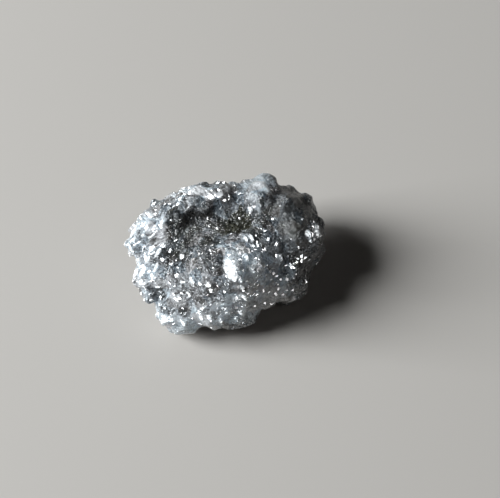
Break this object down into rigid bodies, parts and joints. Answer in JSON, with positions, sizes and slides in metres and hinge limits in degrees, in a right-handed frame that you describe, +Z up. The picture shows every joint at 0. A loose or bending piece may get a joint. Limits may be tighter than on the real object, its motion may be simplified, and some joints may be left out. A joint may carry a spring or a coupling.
{
  "type": "rough diamond",
  "caption": "Rough grey diamond, a small intergrown stone with a lumpy, pitted skin of blunt crystals, standing on a flat spot under it.",
  "frame": {"origin": "middle of the stone's box, at the level of the flat spot that it rests on", "axes": "+X along the stone's longest direction, towards the end with the dark lobe; +Y towards the long ridge; +Z up, away from the flat spot"},
  "size_m": [0.0066, 0.005, 0.0039],
  "materials": {
    "grey_diamond": "bright, close to metallic, with small mirror-like faces, smoky clear grains and a few olive brown stains"
  },
  "bodies": {
    "root": {"diamond": "grey_diamond"}
  },
  "joints": []
}
